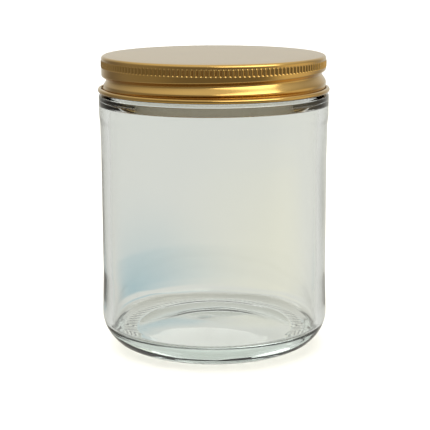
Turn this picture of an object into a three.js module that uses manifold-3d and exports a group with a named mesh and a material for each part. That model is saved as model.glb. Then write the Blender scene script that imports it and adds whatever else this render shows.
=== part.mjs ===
// A straight-sided glass storage jar closed by a one-piece metal screw lid.
// Millimetres, +Z up. The jar stands on z = 0 and its axis is the Z axis.
import * as THREE from 'three';
import { mergeVertices } from 'three/addons/utils/BufferGeometryUtils.js';
import Module from 'manifold-3d';

const wasm = await Module();
wasm.setup();

// ---- Driving dimensions ----------------------------------------------------

// Closed jar
const TOTAL_HEIGHT = 93.5;

// Lid sheet, knurls and hem; heights are measured down from the lid's top
const SHEET = 0.3;
const LID_RADIUS = 35.55;
const LID_CORNER = 1.0;
const KNURL_TOP = 1.25;
const KNURL_BOTTOM = 3.6;
const KNURL_COUNT = 156;
const KNURL_CREST_RADIUS = 35.85;
const KNURL_VALLEY_RADIUS = 35.48;
const HEM_RADIUS = 0.75;
const SKIRT_DEPTH = 11.6;

// Sealing disc
const LINER_RADIUS = 34.45;
const LINER_THICKNESS = 1.0;
const LINER_GAP = 0.05;

// Screw thread: six turns to the inch, right-handed
const THREAD_PITCH = 25.4 / 6;
const LID_GROOVE_DROP = 6.3;
const LID_GROOVE_RADIUS = 1.4;
const LID_GROOVE_SPAN = [-285, 40];
const GLASS_THREAD_RADIUS = 1.25;
const GLASS_THREAD_CREST = 34.6;
const GLASS_THREAD_SPAN = [-325, 25];
const THREAD_FADE = 24;
const THREAD_FADE_OVERRUN = 0.1;

// Jar, from the rim down
const NECK_RADIUS = 33.4;
const MOUTH_RADIUS = 30.9;
const RIM_ROUND = 1.0;
const NECK_HEIGHT = 10.6;
const SHOULDER_RADIUS = 36.5;
const SHOULDER_SLOPE = 0.5;
const SHOULDER_ROUND = 2.3;
const SHOULDER_RING_HEIGHT = 5.0;
const SHOULDER_EASE = 0.3;
const SHOULDER_EASE_HEIGHT = 1.25;
const SHOULDER_TAPER = 12;
const PANEL_RADIUS = 36.0;
const HEEL_RING_RADIUS = 36.35;
const HEEL_TAPER = 12;
const HEEL_BAND = 2;
const HEEL_HEIGHT = 10;
const HEEL_FULLNESS = 1.75;
const BEARING_OUTER_RADIUS = 27.2;
const BEARING_INNER_RADIUS = 25.0;
const PUSH_UP_HEIGHT = 1.9;
const BORE_FOOT_DROP = 0.4;
const WALL_TOP_DROP = 4.2;
const INNER_EASE = 0.55;
const INNER_EASE_HEIGHT = 1.3;
const WALL_INNER_RADIUS = 33.3;
const FLOOR_HEIGHT = 6.8;
const FLOOR_CROWN = 0.5;
const FLOOR_FILLET = 1.8;

// Facets round a full turn
const JAR_FACETS = 64;
const LID_FACETS = 72;
const THREAD_SECTION_FACETS = 12;
const THREAD_STEP_DEGREES = 8;

// Edges that a join leaves shorter than this are closed up
const SLIVER = 0.004;

const RIM_HEIGHT = TOTAL_HEIGHT - SHEET - LINER_THICKNESS - 2 * LINER_GAP;
const NECK_FOOT = RIM_HEIGHT - NECK_HEIGHT;

// ---- Shape helpers ---------------------------------------------------------

// Points along an arc in the half plane (radius, height), both ends included.
function arc(centreRadius, centreHeight, radius, fromDegrees, toDegrees, steps) {
  const points = [];
  for (let i = 0; i <= steps; i += 1) {
    const angle = THREE.MathUtils.degToRad(fromDegrees + ((toDegrees - fromDegrees) * i) / steps);
    points.push([centreRadius + radius * Math.cos(angle), centreHeight + radius * Math.sin(angle)]);
  }
  return points;
}

// Points of the heel, from its foot up to its widest point, on a superellipse.
function heelCurve(steps) {
  const points = [];
  for (let i = 0; i <= steps; i += 1) {
    const angle = (Math.PI / 2) * (1 - i / steps);
    const outward = Math.abs(Math.cos(angle)) ** (2 / HEEL_FULLNESS);
    const upward = 1 - Math.abs(Math.sin(angle)) ** (2 / HEEL_FULLNESS);
    points.push([
      BEARING_OUTER_RADIUS + (HEEL_RING_RADIUS - BEARING_OUTER_RADIUS) * outward,
      HEEL_HEIGHT * upward,
    ]);
  }
  return points;
}

// Points of the shallow dome under the base, a parabola from its middle down to the bearing ring.
function domeCurve(steps) {
  const points = [];
  for (let i = 0; i <= steps; i += 1) {
    const share = i / steps;
    points.push([BEARING_INNER_RADIUS * share, PUSH_UP_HEIGHT * (1 - share ** 2)]);
  }
  return points;
}

// A closed solid from a closed geometry; its faces are turned outwards.
function solid(geometry) {
  const bare = geometry.index ? geometry.clone() : mergeVertices(geometry);
  bare.deleteAttribute('normal');
  bare.deleteAttribute('uv');
  const merged = mergeVertices(bare, 1e-4);
  const position = merged.attributes.position.array;
  const index = [];
  let volume = 0;
  for (let i = 0; i < merged.index.count; i += 3) {
    const [a, b, c] = [0, 1, 2].map((k) => merged.index.getX(i + k));
    if (a !== b && b !== c && c !== a) {
      index.push(a, b, c);
      const [p, q, r] = [a, b, c].map((v) => new THREE.Vector3().fromArray(position, 3 * v));
      volume += p.dot(q.cross(r));
    }
  }
  if (volume < 0) index.reverse();
  return new wasm.Manifold(new wasm.Mesh({
    numProp: 3,
    vertProperties: new Float32Array(position),
    triVerts: new Uint32Array(index),
  }));
}

// A solid of revolution about Z from [radius, height] points.
function revolve(profile, facets) {
  const points = profile.map(([radius, height]) => new THREE.Vector2(radius, height));
  return solid(new THREE.LatheGeometry(points, facets).rotateX(Math.PI / 2));
}

// A plain upright cylinder between two heights.
function cylinder(radius, bottom, top, facets) {
  return revolve([[0, bottom], [radius, bottom], [radius, top], [0, top]], facets);
}

// A right-handed helix about Z. Angle -90 faces the front, where it passes frontHeight.
// Over its first and last THREAD_FADE degrees its radius changes by fadeShift.
class Helix extends THREE.Curve {
  constructor(radius, frontHeight, [start, end], fadeShift) {
    super();
    Object.assign(this, { radius, frontHeight, start, end, fadeShift });
  }

  getPoint(t) {
    const degrees = this.start + (this.end - this.start) * t;
    const fromEnd = Math.min(degrees - this.start, this.end - degrees);
    const fade = 1 - THREE.MathUtils.smoothstep(fromEnd, 0, THREAD_FADE);
    const radius = this.radius + this.fadeShift * fade;
    const angle = THREE.MathUtils.degToRad(degrees);
    const height = this.frontHeight + (THREAD_PITCH * (degrees + 90)) / 360;
    return new THREE.Vector3(radius * Math.cos(angle), radius * Math.sin(angle), height);
  }
}

// A round bar that follows a helix.
function helicalBar(barRadius, helix) {
  const section = new THREE.Shape().absarc(0, 0, barRadius, 0, 2 * Math.PI, false);
  return solid(new THREE.ExtrudeGeometry(section, {
    curveSegments: THREAD_SECTION_FACETS / 2,
    steps: Math.round((helix.end - helix.start) / THREAD_STEP_DEGREES),
    extrudePath: helix,
  }));
}

function toMesh(name, body, colour, roughness, metalness, extra = {}) {
  const { vertProperties, triVerts } = body.simplify(SLIVER).getMesh();
  const geometry = new THREE.BufferGeometry();
  geometry.setAttribute('position', new THREE.BufferAttribute(vertProperties, 3));
  geometry.setIndex(new THREE.BufferAttribute(triVerts, 1));
  geometry.computeVertexNormals();
  const material = new THREE.MeshStandardMaterial({ color: colour, roughness, metalness, ...extra });
  const mesh = new THREE.Mesh(geometry, material);
  mesh.name = name;
  return mesh;
}

// ---- Glass jar -------------------------------------------------------------

// The outside, from the centre of the underside up to the top of the rim.
function jarOutside() {
  const ringTop = NECK_FOOT - SHOULDER_SLOPE - SHOULDER_ROUND;
  const ringBottom = ringTop - SHOULDER_RING_HEIGHT;
  const heelTop = HEEL_HEIGHT + HEEL_BAND;
  const rimCentre = RIM_HEIGHT - RIM_ROUND;
  return [
    ...domeCurve(4),
    ...heelCurve(8),
    [HEEL_RING_RADIUS, heelTop],
    [PANEL_RADIUS, heelTop + HEEL_TAPER],
    [PANEL_RADIUS, ringBottom - SHOULDER_TAPER],
    [SHOULDER_RADIUS - SHOULDER_EASE, ringBottom - SHOULDER_EASE_HEIGHT],
    [SHOULDER_RADIUS, ringBottom + SHOULDER_EASE_HEIGHT],
    ...arc(SHOULDER_RADIUS - SHOULDER_ROUND, ringTop, SHOULDER_ROUND, 0, 90, 5),
    [NECK_RADIUS, NECK_FOOT],
    ...arc(NECK_RADIUS - RIM_ROUND, rimCentre, RIM_ROUND, 0, 90, 3),
  ];
}

// The inside, from the top of the rim down to the centre of the floor.
function jarInside() {
  const rimCentre = RIM_HEIGHT - RIM_ROUND;
  const boreFoot = NECK_FOOT - BORE_FOOT_DROP;
  const wallTop = NECK_FOOT - WALL_TOP_DROP;
  const floorEdge = WALL_INNER_RADIUS - FLOOR_FILLET;
  return [
    ...arc(MOUTH_RADIUS + RIM_ROUND, rimCentre, RIM_ROUND, 90, 180, 3),
    [MOUTH_RADIUS, boreFoot],
    [MOUTH_RADIUS + INNER_EASE, boreFoot - INNER_EASE_HEIGHT],
    [WALL_INNER_RADIUS - INNER_EASE, wallTop + INNER_EASE_HEIGHT],
    [WALL_INNER_RADIUS, wallTop],
    ...arc(floorEdge, FLOOR_HEIGHT + FLOOR_FILLET, FLOOR_FILLET, 0, -90, 5),
    [floorEdge * 0.6, FLOOR_HEIGHT + FLOOR_CROWN * 0.6],
    [0, FLOOR_HEIGHT + FLOOR_CROWN],
  ];
}

function glassJar() {
  const body = revolve([...jarOutside(), ...jarInside()], JAR_FACETS);
  const threadCentre = GLASS_THREAD_CREST - GLASS_THREAD_RADIUS;
  const frontHeight = TOTAL_HEIGHT - LID_GROOVE_DROP + THREAD_PITCH / 2;
  const fadeShift = NECK_RADIUS - GLASS_THREAD_CREST + THREAD_FADE_OVERRUN;
  const helix = new Helix(threadCentre, frontHeight, GLASS_THREAD_SPAN, fadeShift);
  const thread = helicalBar(GLASS_THREAD_RADIUS, helix);
  return toMesh('glass_jar', body.add(thread), 0xe4ebe8, 0.05, 0, { transparent: true, opacity: 0.35 });
}

// ---- Lid -------------------------------------------------------------------

// The lid's sheet: flat top, rounded corner, straight skirt and hollow curled hem.
function lidSheet() {
  const cornerCentre = [LID_RADIUS - LID_CORNER, TOTAL_HEIGHT - LID_CORNER];
  const hemCentre = [LID_RADIUS - SHEET + HEM_RADIUS, TOTAL_HEIGHT - SKIRT_DEPTH + HEM_RADIUS];
  const hemEnd = 115;
  return revolve([
    [0, TOTAL_HEIGHT],
    ...arc(...cornerCentre, LID_CORNER, 90, 0, 4),
    ...arc(...hemCentre, HEM_RADIUS - SHEET, 180, 360 + hemEnd, 6),
    ...arc(...hemCentre, HEM_RADIUS, 360 + hemEnd, 180, 9),
    ...arc(...cornerCentre, LID_CORNER - SHEET, 0, 90, 3),
    [0, TOTAL_HEIGHT - SHEET],
  ], LID_FACETS);
}

// The ring of upright grip ribs below the lid's corner.
function knurlRing() {
  const outline = new THREE.Shape();
  for (let i = 0; i < 2 * KNURL_COUNT; i += 1) {
    const radius = i % 2 ? KNURL_CREST_RADIUS : KNURL_VALLEY_RADIUS;
    const angle = (Math.PI * i) / KNURL_COUNT;
    const point = [radius * Math.cos(angle), radius * Math.sin(angle)];
    if (i === 0) outline.moveTo(...point);
    else outline.lineTo(...point);
  }
  outline.closePath();
  const bore = new THREE.Path().absarc(0, 0, LID_RADIUS - SHEET / 2, 0, 2 * Math.PI, true);
  outline.holes.push(bore);
  const depth = KNURL_BOTTOM - KNURL_TOP;
  const ring = new THREE.ExtrudeGeometry(outline, { depth, bevelEnabled: false, curveSegments: LID_FACETS / 2 });
  return solid(ring.translate(0, 0, TOTAL_HEIGHT - KNURL_BOTTOM));
}

// The thread is rolled into the skirt: a ridge inside backs the groove outside, one sheet thick.
function lidShell() {
  const frontHeight = TOTAL_HEIGHT - LID_GROOVE_DROP;
  const fadeShift = LID_GROOVE_RADIUS + THREAD_FADE_OVERRUN;
  const helix = new Helix(LID_RADIUS, frontHeight, LID_GROOVE_SPAN, fadeShift);
  const inside = cylinder(LID_RADIUS - SHEET / 2, TOTAL_HEIGHT - SKIRT_DEPTH, TOTAL_HEIGHT - SHEET, LID_FACETS);
  const ridge = helicalBar(LID_GROOVE_RADIUS + SHEET, helix).intersect(inside);
  const groove = helicalBar(LID_GROOVE_RADIUS, helix);
  const body = lidSheet().add(knurlRing()).add(ridge).subtract(groove);
  return toMesh('lid_shell', body, 0xb08a45, 0.3, 1);
}

// ---- Sealing disc ----------------------------------------------------------

function lidLiner() {
  const bottom = RIM_HEIGHT + LINER_GAP;
  const body = cylinder(LINER_RADIUS, bottom, bottom + LINER_THICKNESS, JAR_FACETS);
  return toMesh('lid_liner', body, 0xf0efe9, 0.85, 0);
}

const jar = new THREE.Group();
jar.add(glassJar(), lidShell(), lidLiner());

export default jar;
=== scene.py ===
"""Looks of a clear glass jar with a one-piece gold screw lid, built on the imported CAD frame."""

import math
from collections import namedtuple

import bpy
import numpy as np
from mathutils import Matrix, Vector


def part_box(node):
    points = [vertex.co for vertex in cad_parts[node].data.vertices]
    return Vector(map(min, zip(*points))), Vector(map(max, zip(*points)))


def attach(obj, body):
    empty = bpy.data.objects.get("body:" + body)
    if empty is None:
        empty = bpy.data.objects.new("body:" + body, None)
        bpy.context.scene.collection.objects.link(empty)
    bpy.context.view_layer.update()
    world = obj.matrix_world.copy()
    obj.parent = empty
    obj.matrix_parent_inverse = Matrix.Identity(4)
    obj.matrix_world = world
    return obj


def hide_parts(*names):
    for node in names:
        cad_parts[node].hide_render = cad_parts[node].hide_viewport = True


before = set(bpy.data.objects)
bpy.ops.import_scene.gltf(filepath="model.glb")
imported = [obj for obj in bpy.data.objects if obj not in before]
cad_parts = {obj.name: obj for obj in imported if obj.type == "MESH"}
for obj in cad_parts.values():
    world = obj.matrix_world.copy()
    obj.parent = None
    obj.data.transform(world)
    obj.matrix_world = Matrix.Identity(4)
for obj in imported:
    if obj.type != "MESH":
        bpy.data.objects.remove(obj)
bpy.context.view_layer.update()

MM = 0.001
TAU = 2 * math.pi

# ---- Sizes read from the frame, in metres ----------------------------------

LID_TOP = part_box("lid_shell")[1].z
LID_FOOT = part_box("lid_shell")[0].z
RIM_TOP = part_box("glass_jar")[1].z
BODY_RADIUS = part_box("glass_jar")[1].x
LINER_LOW, LINER_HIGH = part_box("lid_liner")

# ---- Driving sizes that the frame doesn't name, in metres ------------------

# Screw thread: six turns to the inch, right-handed; its spans and its fade are degrees round the axis,
# where -90 faces the front
PITCH = 25.4 * MM / 6
THREAD_FADE = 24
GLASS_THREAD_SPAN = (-325, 25)
GLASS_THREAD_HEIGHT = 1.15 * MM
GLASS_THREAD_HALF_WIDTH = 1.25 * MM
GROOVE_SPAN = (-285, 40)
GROOVE_DEPTH = 1.42 * MM
GROOVE_ABOVE = 1.55 * MM
GROOVE_BELOW = 2.5 * MM
GROOVE_FLAT = 0.15 * MM
GROOVE_ROLL_SHARPNESS = 1.15
GROOVE_SLOPE_EASE = 0.35

# Lid: where its features are, measured down from its top; a pair is where a ramp starts and ends
GROOVE_DROP = 6.7 * MM
GROOVE_LIMIT = (9.9 * MM, 10.7 * MM)
KNURL_TOP = (1.3 * MM, 1.8 * MM)
KNURL_BOTTOM = (3.47 * MM, 3.75 * MM)
WAIST_TOP = (8.9 * MM, 9.9 * MM)
WAIST_BOTTOM = (10.3 * MM, 10.8 * MM)
SKIRT_TOP = 1.12 * MM
SKIRT_BOTTOM = 10.8 * MM

# Lid: sheet, knurls, waist and hem; the middle of the waist's relief and the curl's end are degrees
SHEET = 0.25 * MM
LID_RADIUS = 35.55 * MM
LID_CORNER = 1.0 * MM
KNURL_COUNT = 156
KNURL_HEIGHT = 0.50 * MM
KNURL_SINK = 0.36 * MM
KNURL_SHARPNESS = 1.6
WAIST_DEPTH = 0.42 * MM
WAIST_RELIEF = 0.3 * MM
WAIST_RELIEF_MIDDLE = 5
HEM_RADIUS = 0.75 * MM
HEM_CENTRE_RADIUS = 36.0 * MM
HEM_END = 475

# Jar, from the rim down
NECK_RADIUS = 33.4 * MM
MOUTH_RADIUS = 30.9 * MM
RIM_ROUND = 1.0 * MM
NECK_FOOT = RIM_TOP - 10.6 * MM
BORE_FOOT = NECK_FOOT - 0.3 * MM
WALL_TOP = NECK_FOOT - 3.7 * MM
SHOULDER_RING_TOP = NECK_FOOT - 2.8 * MM
SHOULDER_RING_BOTTOM = SHOULDER_RING_TOP - 5 * MM
SHOULDER_CORNER = 0.5 * MM
SHOULDER_BEVEL = 1.5 * MM
SHOULDER_EASE = 0.3 * MM
PANEL_RADIUS = 36.0 * MM
PANEL_TAPER = 12 * MM
WALL_INNER = 33.3 * MM
HEEL_RADIUS = 36.35 * MM
HEEL_HEIGHT = 10 * MM
HEEL_BAND = 2 * MM
HEEL_FULLNESS = 1.75
BEARING_OUTER = 27.2 * MM
BEARING_INNER = 25.0 * MM
PUSH_UP = 1.9 * MM
FLOOR_HEIGHT = 6.8 * MM
FLOOR_CROWN = 0.5 * MM
FLOOR_FILLET = 1.7 * MM

# Marks that the mould leaves on the jar, and the unevenness of its inside
SEAM_HEIGHT = 1.9 * MM
SEAM_DEPTH = 0.14 * MM
SEAM_HALF_WIDTH = 0.35 * MM
STIPPLE_COUNT = 96
STIPPLE_DEPTH = 0.26 * MM
STIPPLE_INNER = (25.4 * MM, 26.2 * MM)
STIPPLE_OUTER = (28.4 * MM, 29.8 * MM)
WALL_WAVE = 0.1 * MM
FLOOR_WAVE = 0.09 * MM

# Sealing disc
LINER_EDGE = 0.3 * MM
LINER_PRINT_DEPTH = 0.12 * MM
LINER_PRINT_HALF_WIDTH = 0.9 * MM

# Facets round a full turn, and the longest steps along an outline
GLASS_COLUMNS = 4 * STIPPLE_COUNT
LID_COLUMNS = 8 * KNURL_COUNT
LINER_COLUMNS = 160
PLAIN_STEP = 2.2 * MM
UNDERSIDE_STEP = 0.5 * MM
THREAD_STEP = 0.2 * MM
SKIRT_STEP = 0.12 * MM

# ---- Surroundings ----------------------------------------------------------

# A soft patch on the world round one direction: full within near and gone beyond far, as distances on a unit
# sphere, and narrower in Z where flatten is over 1
Glow = namedtuple("Glow", "towards near far colour flatten", defaults=[1])

# What the metal and the glass reflect: a dim room with a pale wall behind, a warm one on its right, a window
ROOM = (0.19, 0.17, 0.145)
WALL_BEHIND = Glow((0.1, 1, 0.1), 0.25, 1.05, (0.64, 0.63, 0.57))
WALL_LEFT = Glow((-1, -0.2, -0.1), 0.25, 0.9, (0.29, 0.265, 0.23))
WALL_RIGHT = Glow((1, 0.05, -0.12), 0.2, 0.8, (0.78, 0.69, 0.5))
TABLE = Glow((0, 0, -1), 0.63, 1.1, (0.52, 0.52, 0.5))
CEILING = Glow((0, 0.1, 1), 0.5, 1.35, (0.85, 0.83, 0.76))
WINDOW = Glow((0.68, -0.54, 0.5), 0.1, 0.56, (1.5, 1.46, 1.2))

# What shows through the glass: light grey, bluer low on the left of the middle and yellower on its right
SEEN_THROUGH = (0.86, 0.865, 0.84)
GREY_BEHIND = Glow((0, 1, -0.2), 0.3, 0.9, (0.76, 0.77, 0.73))
GREY_BELOW = Glow((0, 0, -1), 0.7, 1.25, (0.48, 0.48, 0.41))
BLUE_BEHIND = Glow((-0.15, 1, -0.3), 0, 0.23, (0.41, 0.57, 0.62), 2)
YELLOW_BEHIND = Glow((0.10, 1, -0.24), 0, 0.18, (0.84, 0.83, 0.71), 1.3)


# ---- Curve helpers ---------------------------------------------------------

def arc(centre_radius, centre_height, radius, from_degrees, to_degrees, steps):
    """Points (radius, height) along an arc, both ends included."""
    angles = np.radians(np.linspace(from_degrees, to_degrees, steps + 1))
    return [(centre_radius + radius * math.cos(a), centre_height + radius * math.sin(a)) for a in angles]


def rounded(corners, steps):
    """Points along straight runs between corners (radius, height, fillet), each rounded by its fillet."""
    points = []
    for i, (radius, height, fillet) in enumerate(corners):
        here = Vector((radius, height))
        if fillet == 0 or i in (0, len(corners) - 1):
            points.append(tuple(here))
            continue
        back = (Vector(corners[i - 1][:2]) - here).normalized()
        ahead = (Vector(corners[i + 1][:2]) - here).normalized()
        half = back.angle(ahead) / 2
        reach = fillet / math.tan(half)
        centre = here + (back + ahead).normalized() * fillet / math.sin(half)
        start, end = here + back * reach - centre, here + ahead * reach - centre
        turn = start.angle_signed(end)
        for k in range(steps + 1):
            spoke = Matrix.Rotation(-turn * k / steps, 2) @ start
            points.append(tuple(centre + spoke))
    return points


def subdivided(points, longest):
    """The same outline with no gap between points longer than longest."""
    out = [points[0]]
    for (r0, z0), (r1, z1) in zip(points, points[1:]):
        steps = max(1, math.ceil(math.hypot(r1 - r0, z1 - z0) / longest))
        out += [(r0 + (r1 - r0) * k / steps, z0 + (z1 - z0) * k / steps) for k in range(1, steps + 1)]
    return out


def smooth(low, high, value):
    """0 below low, 1 above high, with an S-curve between."""
    t = np.clip((value - low) / (high - low), 0, 1)
    return t * t * (3 - 2 * t)


def along_helix(angle, height, front_height, span, profile):
    """Sums profile(height above the helix), times the run-out at its ends, over the turns of the helix.
    angle is an array in degrees from -180 to 180, where -90 faces the front."""
    total = np.zeros(np.broadcast(angle, height).shape)
    for turn in (-2, -1, 0, 1):
        along = angle + 360 * turn
        from_end = np.minimum(along - span[0], span[1] - along)
        helix_height = front_height + PITCH * (along + 90) / 360
        total = total + smooth(0, THREAD_FADE, from_end) * profile(height - helix_height)
    return total


# ---- Mesh helpers ----------------------------------------------------------

def column_angles(columns):
    """Angles round the axis in radians, one row, from -180 degrees."""
    return (np.arange(columns) * TAU / columns - math.pi)[None, :]


def revolved_rows(points, columns):
    """A plain revolved grid: its radius and its height, each with a row for every outline point."""
    points = np.array(points)
    return np.repeat(points[:, :1], columns, 1), np.repeat(points[:, 1:], columns, 1)


def piece_from_grid(name, radius, height, angle):
    """A closed smooth mesh from rows of points: radius and height are (rows, columns), in outline order.
    The outline starts and ends on the axis, where its first and last points close it."""
    rows, columns = radius.shape
    x, y = radius * np.cos(angle), radius * np.sin(angle)
    rings = np.stack([x, y, height], -1)[1:-1].reshape(-1, 3)
    poles = np.array([[0, 0, height[0].mean()], [0, 0, height[-1].mean()]])
    k = np.arange(columns)
    after = (k + 1) % columns
    bands = [np.stack([k, after, after + columns, k + columns], -1) + j * columns for j in range(rows - 3)]
    first, last = len(rings), len(rings) + 1
    base = (rows - 3) * columns
    fans = [(first, int(b), int(a)) for a, b in zip(k, after)]
    fans += [(last, int(base + a), int(base + b)) for a, b in zip(k, after)]
    mesh = bpy.data.meshes.new(name)
    mesh.from_pydata(np.concatenate([rings, poles]).tolist(), [], np.concatenate(bands).tolist() + fans)
    mesh.shade_smooth()
    turn_outwards(mesh)
    piece = bpy.data.objects.new(name, mesh)
    bpy.context.scene.collection.objects.link(piece)
    return piece


def turn_outwards(mesh):
    """Flips the faces of a closed mesh if they point inwards."""
    mesh.calc_loop_triangles()
    co = np.empty(3 * len(mesh.vertices))
    mesh.vertices.foreach_get("co", co)
    corners = np.empty(3 * len(mesh.loop_triangles), int)
    mesh.loop_triangles.foreach_get("vertices", corners)
    a, b, c = np.moveaxis(co.reshape(-1, 3)[corners.reshape(-1, 3)], 1, 0)
    if np.einsum("ij,ij->i", a, np.cross(b, c)).sum() < 0:
        mesh.flip_normals()


# ---- Glass jar -------------------------------------------------------------

def heel_curve(steps):
    """The heel's outline, from the bearing ring up to its widest point, on a superellipse."""
    points = []
    for angle in np.linspace(math.pi / 2, 0, steps + 1):
        outward = abs(math.cos(angle)) ** (2 / HEEL_FULLNESS)
        upward = 1 - abs(math.sin(angle)) ** (2 / HEEL_FULLNESS)
        points.append((BEARING_OUTER + (HEEL_RADIUS - BEARING_OUTER) * outward, HEEL_HEIGHT * upward))
    return points


def jar_outline():
    """The jar's outline from the middle of its underside, up the outside, over the rim, down the inside."""
    heel_top = HEEL_HEIGHT + HEEL_BAND
    below_rim = RIM_TOP - 1.1 * RIM_ROUND
    rim_centre = RIM_TOP - RIM_ROUND
    dome = [(r, PUSH_UP * (1 - (r / BEARING_INNER) ** 2)) for r in np.linspace(0, BEARING_INNER, 30)]
    underside = subdivided(dome + [(BEARING_OUTER, 0)], UNDERSIDE_STEP)
    outside = rounded([
        (HEEL_RADIUS, HEEL_HEIGHT, 0),
        (HEEL_RADIUS, heel_top, 12 * MM),
        (PANEL_RADIUS, heel_top + PANEL_TAPER, 60 * MM),
        (PANEL_RADIUS, SHOULDER_RING_BOTTOM - PANEL_TAPER, 30 * MM),
        (BODY_RADIUS - SHOULDER_EASE, SHOULDER_RING_BOTTOM - 1.5 * MM, 8 * MM),
        (BODY_RADIUS, SHOULDER_RING_BOTTOM + 1 * MM, 6 * MM),
        (BODY_RADIUS, NECK_FOOT - SHOULDER_CORNER, SHOULDER_CORNER),
        (BODY_RADIUS - SHOULDER_BEVEL, NECK_FOOT - 0.1 * MM, 1.2 * MM),
        (NECK_RADIUS, NECK_FOOT, 0.7 * MM),
        (NECK_RADIUS, below_rim, 0),
    ], steps=6)
    rim = arc(NECK_RADIUS - RIM_ROUND, rim_centre, RIM_ROUND, 0, 90, 8)
    rim += arc(MOUTH_RADIUS + RIM_ROUND, rim_centre, RIM_ROUND, 90, 180, 8)
    inside = rounded([
        (MOUTH_RADIUS, below_rim, 0),
        (MOUTH_RADIUS, BORE_FOOT, 1.2 * MM),
        (WALL_INNER, WALL_TOP, 0.9 * MM),
        (WALL_INNER, FLOOR_HEIGHT, FLOOR_FILLET),
        (22 * MM, FLOOR_HEIGHT + 0.4 * FLOOR_CROWN, 60 * MM),
        (9 * MM, FLOOR_HEIGHT + FLOOR_CROWN, 60 * MM),
        (0, FLOOR_HEIGHT + FLOOR_CROWN, 0),
    ], steps=10)
    outer = subdivided(underside[:-1] + heel_curve(60) + outside[1:-1], PLAIN_STEP)
    neck = subdivided([outer[-1], outside[-1]], THREAD_STEP)[1:]
    return outer + neck + rim + subdivided(inside, PLAIN_STEP)


def glass_jar():
    """One moulding of glass, with an outside thread, a stippled bearing ring and a slightly uneven inside."""
    outline = jar_outline()
    radius, height = revolved_rows(outline, GLASS_COLUMNS)
    angle = column_angles(GLASS_COLUMNS)
    top_row = int(np.argmax([z for _, z in outline]))
    is_inside = (np.arange(len(outline)) > top_row)[:, None]

    def ridge(above):
        return 1 - smooth(0.3 * GLASS_THREAD_HALF_WIDTH, GLASS_THREAD_HALF_WIDTH, np.abs(above))

    front_height = LID_TOP - GROOVE_DROP + PITCH / 2
    thread = along_helix(np.degrees(angle), height, front_height, GLASS_THREAD_SPAN, ridge)
    on_neck = (~is_inside) & (height > NECK_FOOT + 0.3 * MM)
    radius = radius + np.where(on_neck, GLASS_THREAD_HEIGHT * thread, 0)

    on_outside = ~is_inside & (radius > BEARING_OUTER)
    seam = np.exp(-((height - SEAM_HEIGHT) / SEAM_HALF_WIDTH) ** 2)
    radius = radius + np.where(on_outside, SEAM_DEPTH * seam, 0)

    tooth = 0.5 - 0.5 * np.cos(angle * STIPPLE_COUNT)
    near_ring = smooth(*STIPPLE_INNER, radius) * (1 - smooth(*STIPPLE_OUTER, radius))
    on_underside = (~is_inside) & (height < 1.2 * MM)
    height = height + np.where(on_underside, STIPPLE_DEPTH * tooth * near_ring, 0)

    flow = np.sin(0.6 - 2 * angle) * np.cos(height / (17 * MM))
    flow = flow + 0.6 * np.sin(3 * angle - height / (26 * MM))
    flow = flow + 0.35 * np.sin(5 * angle + height / (11 * MM))
    on_wall = smooth(6 * MM, 16 * MM, height) * (1 - smooth(66 * MM, 76 * MM, height))
    radius = radius + np.where(is_inside, WALL_WAVE * flow * on_wall, 0)
    swirl = np.sin(angle + radius / (6 * MM)) + 0.5 * np.sin(3 * angle - radius / (4 * MM))
    on_floor = smooth(0, 8 * MM, radius) * (1 - smooth(26 * MM, 31 * MM, radius))
    height = height + np.where(is_inside & (height < 9 * MM), FLOOR_WAVE * swirl * on_floor, 0)
    return piece_from_grid("jar_glass", radius, height, angle)


# ---- Lid -------------------------------------------------------------------

def groove_section(above):
    """Depth share of the rolled groove at a height above its middle: a tight roll over a long, even slope."""
    roll = np.clip(above / GROOVE_ABOVE, 0, 1)
    even = np.clip((-above - GROOVE_FLAT) / (GROOVE_BELOW - GROOVE_FLAT), 0, 1)
    eased = smooth(GROOVE_FLAT, GROOVE_BELOW, -above)
    slope = eased * GROOVE_SLOPE_EASE + even * (1 - GROOVE_SLOPE_EASE)
    return np.where(above > 0, (0.5 + 0.5 * np.cos(math.pi * roll)) ** GROOVE_ROLL_SHARPNESS, 1 - slope)


def skirt_radius(drop, angle):
    """Outer radius of the plain skirt at a distance below the lid's top, before the groove is rolled in.
    The waist above the hem is shallower towards +X."""
    from_middle = angle - math.radians(WAIST_RELIEF_MIDDLE)
    relief = WAIST_RELIEF * np.cos(np.clip(from_middle, -math.pi / 2, math.pi / 2)) ** 2
    waist = smooth(*WAIST_TOP, drop) - smooth(*WAIST_BOTTOM, drop)
    return LID_RADIUS - waist * (WAIST_DEPTH - relief)


def skirt_rows(drops, inward, knurled):
    """One face of the skirt as a grid of radius and drop, set inward from the outer face, ribbed or not."""
    angle = column_angles(LID_COLUMNS)
    drops = np.asarray(drops)[:, None]
    groove = along_helix(np.degrees(angle), -drops, -GROOVE_DROP, GROOVE_SPAN, groove_section)
    groove = groove * (1 - smooth(*GROOVE_LIMIT, drops))
    band = smooth(*KNURL_TOP, drops) * (1 - smooth(*KNURL_BOTTOM, drops))
    rib = 1 - (0.5 - 0.5 * np.cos(angle * KNURL_COUNT)) ** KNURL_SHARPNESS
    knurl = band * (KNURL_HEIGHT * rib * knurled - KNURL_SINK)
    radius = skirt_radius(drops, angle) - inward - GROOVE_DEPTH * groove + knurl
    return radius, np.repeat(drops, LID_COLUMNS, 1)


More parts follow.
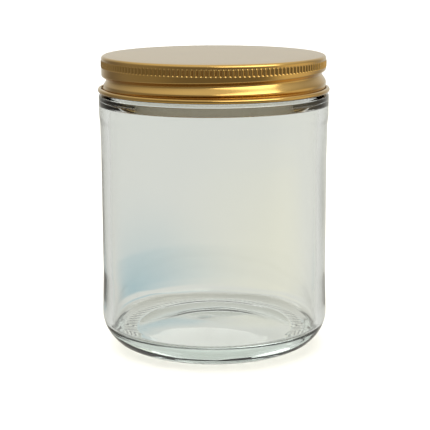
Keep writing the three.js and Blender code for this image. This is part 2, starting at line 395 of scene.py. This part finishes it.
def lid_shell():
    """The lid's single sheet: flat top, knurled band, rolled groove, curled hem and an inside of its own."""
    hem_drop = LID_TOP - LID_FOOT - HEM_RADIUS
    corner_start = LID_RADIUS - LID_CORNER
    curl = HEM_RADIUS - SHEET - 0.05 * MM
    top = [(r, 0) for r in np.linspace(0, corner_start, 6)[:-1]]
    corner = [(r, -z) for r, z in arc(corner_start, -LID_CORNER, LID_CORNER, 90, 0, 8)]
    skirt = np.concatenate([np.arange(SKIRT_TOP, SKIRT_BOTTOM, SKIRT_STEP), [hem_drop]])
    hem_inner = [(r, -z) for r, z in arc(HEM_CENTRE_RADIUS, -hem_drop, curl, 180, HEM_END, 16)]
    hem_outer = [(r, -z) for r, z in arc(HEM_CENTRE_RADIUS, -hem_drop, HEM_RADIUS, HEM_END, 180, 22)]
    inner_corner = [(r, -z) for r, z in arc(corner_start, -LID_CORNER, LID_CORNER - SHEET, 0, 90, 6)]
    inner_top = [(r, SHEET) for r in np.linspace(corner_start, 0, 8)[1:]]
    parts = [
        revolved_rows(top + corner, LID_COLUMNS),
        skirt_rows(skirt, 0, True),
        revolved_rows(hem_inner[1:] + hem_outer, LID_COLUMNS),
        skirt_rows(skirt[:-1][::-3], SHEET, False),
        revolved_rows(inner_corner + inner_top, LID_COLUMNS),
    ]
    radius = np.concatenate([part[0] for part in parts])
    drop = np.concatenate([part[1] for part in parts])
    return piece_from_grid("lid_metal", radius, LID_TOP - drop, column_angles(LID_COLUMNS))


# ---- Sealing disc ----------------------------------------------------------

def lid_liner():
    """A foam disc with soft edges; its underside keeps a faint ring where the rim has pressed it."""
    low, high = LINER_LOW.z, LINER_HIGH.z
    flat_radius = LINER_HIGH.x - LINER_EDGE
    underside = [(r, low) for r in np.linspace(0, flat_radius, 40)[:-1]]
    lower_edge = arc(flat_radius, low + LINER_EDGE, LINER_EDGE, -90, 0, 5)
    upper_edge = arc(flat_radius, high - LINER_EDGE, LINER_EDGE, 0, 90, 5)
    topside = [(r, high) for r in np.linspace(flat_radius, 0, 16)[1:]]
    radius, height = revolved_rows(underside + lower_edge + upper_edge + topside, LINER_COLUMNS)
    rim_middle = (NECK_RADIUS + MOUTH_RADIUS) / 2
    pressed = np.exp(-((radius - rim_middle) / LINER_PRINT_HALF_WIDTH) ** 2)
    height = height + np.where(height < (low + high) / 2, LINER_PRINT_DEPTH * pressed, 0)
    return piece_from_grid("liner_foam", radius, height, column_angles(LINER_COLUMNS))


# ---- Materials -------------------------------------------------------------

def new_material(name):
    """A material with a Principled shader: itself, its node tree, the shader and object coordinates."""
    material = bpy.data.materials.new(name)
    material.use_nodes = True
    tree = material.node_tree
    shader = tree.nodes["Principled BSDF"]
    coordinates = tree.nodes.new("ShaderNodeTexCoord").outputs["Object"]
    return material, tree, shader, coordinates


def noise(tree, vector, scale, detail=3.0):
    node = tree.nodes.new("ShaderNodeTexNoise")
    node.inputs["Scale"].default_value = scale
    node.inputs["Detail"].default_value = detail
    tree.links.new(vector, node.inputs["Vector"])
    return node.outputs["Fac"]


def stretched(tree, vector, scale):
    """Coordinates scaled by a different amount along each axis."""
    node = tree.nodes.new("ShaderNodeMapping")
    node.inputs["Scale"].default_value = scale
    tree.links.new(vector, node.inputs["Vector"])
    return node.outputs["Vector"]


def ramp(tree, factor, stops):
    """Colours or greys against a factor from 0 to 1."""
    node = tree.nodes.new("ShaderNodeValToRGB")
    for element, (place, colour) in zip(node.color_ramp.elements, stops):
        element.position = place
        element.color = colour
    tree.links.new(factor, node.inputs["Fac"])
    return node.outputs["Color"]


def grey(value):
    return (value, value, value, 1)


def bump(tree, shader, height, strength, distance):
    node = tree.nodes.new("ShaderNodeBump")
    node.inputs["Strength"].default_value = strength
    node.inputs["Distance"].default_value = distance
    tree.links.new(height, node.inputs["Height"])
    tree.links.new(node.outputs["Normal"], shader.inputs["Normal"])


def clear_glass():
    """Moulded clear glass, grey-green where it is deep, with a slightly uneven skin."""
    material, tree, shader, coordinates = new_material("clear_glass")
    shader.inputs["Base Color"].default_value = (0.95, 0.955, 0.945, 1)
    shader.inputs["Transmission Weight"].default_value = 1
    shader.inputs["IOR"].default_value = 1.52
    shader.inputs["Roughness"].default_value = 0.0
    skin = noise(tree, stretched(tree, coordinates, (1, 1, 0.35)), scale=60, detail=1.0)
    bump(tree, shader, skin, strength=0.12, distance=0.0006)
    depth = tree.nodes.new("ShaderNodeVolumeAbsorption")
    depth.inputs["Color"].default_value = (0.80, 0.865, 0.83, 1)
    depth.inputs["Density"].default_value = 22
    tree.links.new(depth.outputs["Volume"], tree.nodes["Material Output"].inputs["Volume"])
    return material


def gold_lacquer():
    """Satin gold lacquer over rolled tinplate: fine grain along X, slow changes of tone, soft gloss."""
    material, tree, shader, coordinates = new_material("gold_lacquer")
    deep, light = (0.64, 0.40, 0.115, 1), (0.70, 0.45, 0.14, 1)
    shader.inputs["Metallic"].default_value = 1
    tone = ramp(tree, noise(tree, coordinates, scale=45), [(0.3, deep), (0.7, light)])
    tree.links.new(tone, shader.inputs["Base Color"])
    grain = noise(tree, stretched(tree, coordinates, (1, 9, 9)), scale=420, detail=4.0)
    gloss = ramp(tree, grain, [(0.3, grey(0.16)), (0.75, grey(0.22))])
    tree.links.new(gloss, shader.inputs["Roughness"])
    skin = noise(tree, coordinates, scale=5200, detail=1.0)
    bump(tree, shader, skin, strength=0.02, distance=0.00001)
    shader.inputs["Coat Weight"].default_value = 0.6
    shader.inputs["Coat Roughness"].default_value = 0.12
    return material


def white_foam():
    """Matt closed-cell foam: its own off-white, set darker and browner as painted shade and a painted warm
    reflection of the gold lid over it.
    """
    material, tree, shader, coordinates = new_material("white_foam")
    # Painted shade and painted gold reflection: these tones are darker and browner than the foam's own
    # off-white
    deep, light = (0.71, 0.64, 0.52, 1), (0.77, 0.71, 0.60, 1)
    tone = ramp(tree, noise(tree, coordinates, scale=900), [(0.3, deep), (0.7, light)])
    tree.links.new(tone, shader.inputs["Base Color"])
    shader.inputs["Roughness"].default_value = 0.8
    cells = noise(tree, coordinates, scale=2200, detail=4.0)
    bump(tree, shader, cells, strength=0.35, distance=0.0001)
    return material


# ---- Studio ----------------------------------------------------------------

def pale_floor():
    """A plain pale floor, matt, big enough to fill every view. No reflection shows it, nor does the glass."""
    bpy.ops.mesh.primitive_circle_add(vertices=96, radius=6, fill_type="NGON")
    floor = bpy.context.object
    floor.name = "floor"
    material, _, shader, _ = new_material("floor_paper")
    shader.inputs["Base Color"].default_value = (0.86, 0.86, 0.85, 1)
    shader.inputs["Roughness"].default_value = 0.9
    shader.inputs["Specular IOR Level"].default_value = 0.1
    floor.data.materials.append(material)
    floor.visible_glossy = False
    floor.visible_transmission = False


def window_light(place, target, size, power, colour):
    """A soft rectangular light at place, facing target. It isn't seen itself, only by what it lights."""
    light = bpy.data.lights.new("right_window", "AREA")
    light.shape = "RECTANGLE"
    light.size, light.size_y = size
    light.energy = power
    light.color = colour
    lamp = bpy.data.objects.new("right_window", light)
    lamp.location = place
    lamp.rotation_euler = (Vector(target) - Vector(place)).to_track_quat("-Z", "Y").to_euler()
    lamp.visible_camera = False
    bpy.context.scene.collection.objects.link(lamp)


def overhead_light():
    """A very soft light from above and slightly behind, even over the whole floor, that nothing reflects."""
    light = bpy.data.lights.new("overhead", "SUN")
    light.energy = 2.9
    light.angle = math.radians(80)
    lamp = bpy.data.objects.new("overhead", light)
    lamp.rotation_euler = Vector((-0.15, 0.35, 1)).to_track_quat("Z", "Y").to_euler()
    lamp.visible_glossy = False
    bpy.context.scene.collection.objects.link(lamp)


def surroundings(tree, direction, base, glows):
    """A background shader: a base colour with soft patches laid over it, each over the one before."""
    under = tree.nodes.new("ShaderNodeRGB").outputs["Color"]
    under.default_value = (*base, 1)
    for glow in glows:
        centre = Vector(glow.towards).normalized()
        offset = tree.nodes.new("ShaderNodeVectorMath")
        offset.operation = "DISTANCE"
        tree.links.new(stretched(tree, direction, (1, 1, glow.flatten)), offset.inputs[0])
        offset.inputs[1].default_value = (centre.x, centre.y, centre.z * glow.flatten)
        share = tree.nodes.new("ShaderNodeMapRange")
        share.interpolation_type = "SMOOTHSTEP"
        share.inputs["From Min"].default_value = glow.far
        share.inputs["From Max"].default_value = glow.near
        tree.links.new(offset.outputs["Value"], share.inputs["Value"])
        blend = tree.nodes.new("ShaderNodeMix")
        blend.data_type = "RGBA"
        blend.inputs["B"].default_value = (*glow.colour, 1)
        tree.links.new(share.outputs["Result"], blend.inputs["Factor"])
        tree.links.new(under, blend.inputs["A"])
        under = blend.outputs["Result"]
    background = tree.nodes.new("ShaderNodeBackground")
    tree.links.new(under, background.inputs["Color"])
    return background.outputs["Background"]


def studio_world():
    """White to the eye, a room to whatever reflects it or is lit by it, and light grey through the glass."""
    world = bpy.data.worlds.new("studio")
    bpy.context.scene.world = world
    world.use_nodes = True
    tree = world.node_tree
    direction = tree.nodes.new("ShaderNodeTexCoord").outputs["Generated"]
    light_path = tree.nodes.new("ShaderNodeLightPath")
    reflected = [WALL_BEHIND, WALL_LEFT, WALL_RIGHT, TABLE, CEILING, WINDOW]
    room = surroundings(tree, direction, ROOM, reflected)
    seen = [GREY_BEHIND, GREY_BELOW, BLUE_BEHIND, YELLOW_BEHIND]
    through = surroundings(tree, direction, SEEN_THROUGH, seen)
    white = tree.nodes["Background"]
    white.inputs["Color"].default_value = grey(1)
    shown = room
    for ray, background in (("Is Transmission Ray", through), ("Is Camera Ray", white.outputs["Background"])):
        either = tree.nodes.new("ShaderNodeMixShader")
        tree.links.new(light_path.outputs[ray], either.inputs["Fac"])
        tree.links.new(shown, either.inputs[1])
        tree.links.new(background, either.inputs[2])
        shown = either.outputs["Shader"]
    tree.links.new(shown, tree.nodes["World Output"].inputs["Surface"])


def camera():
    """The photograph's view: a long lens in front of the jar, above the lid and looking slightly down."""
    place = (0, -0.448, 0.133)
    tilt, pan, roll = math.radians(11.53), math.radians(0.036), math.radians(-0.18)
    data = bpy.data.cameras.new("camera")
    data.lens = 118.3
    data.sensor_width = 36
    data.clip_start = 0.05
    data.clip_end = 20
    view = bpy.data.objects.new("camera", data)
    heading = Matrix.Rotation(-pan, 4, "Z") @ Matrix.Rotation(math.pi / 2 - tilt, 4, "X")
    aim = heading @ Matrix.Rotation(roll, 4, "Z")
    view.matrix_world = Matrix.Translation(place) @ aim
    bpy.context.scene.collection.objects.link(view)
    bpy.context.scene.camera = view


def studio():
    camera()
    pale_floor()
    studio_world()
    overhead_light()
    lid_middle = (0, 0, LID_TOP)
    window_light((0.47, -0.57, 0.72), lid_middle, size=(1.1, 0.55), power=3.4, colour=(1, 0.97, 0.8))
    bpy.context.scene.view_settings.view_transform = "Standard"


# ---- The object ------------------------------------------------------------

def dress(piece, material, body, node):
    """Gives a piece its material and the body that it moves with, and hides the CAD node that it stands for.
    """
    piece.data.materials.append(material)
    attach(piece, body)
    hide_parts(node)


studio()
# Light passes through clear glass, so the jar throws no dark shadow; the lid throws its own
jar_glass = glass_jar()
jar_glass.visible_shadow = False
dress(jar_glass, clear_glass(), "jar", "glass_jar")
dress(lid_shell(), gold_lacquer(), "lid", "lid_shell")
dress(lid_liner(), white_foam(), "liner", "lid_liner")
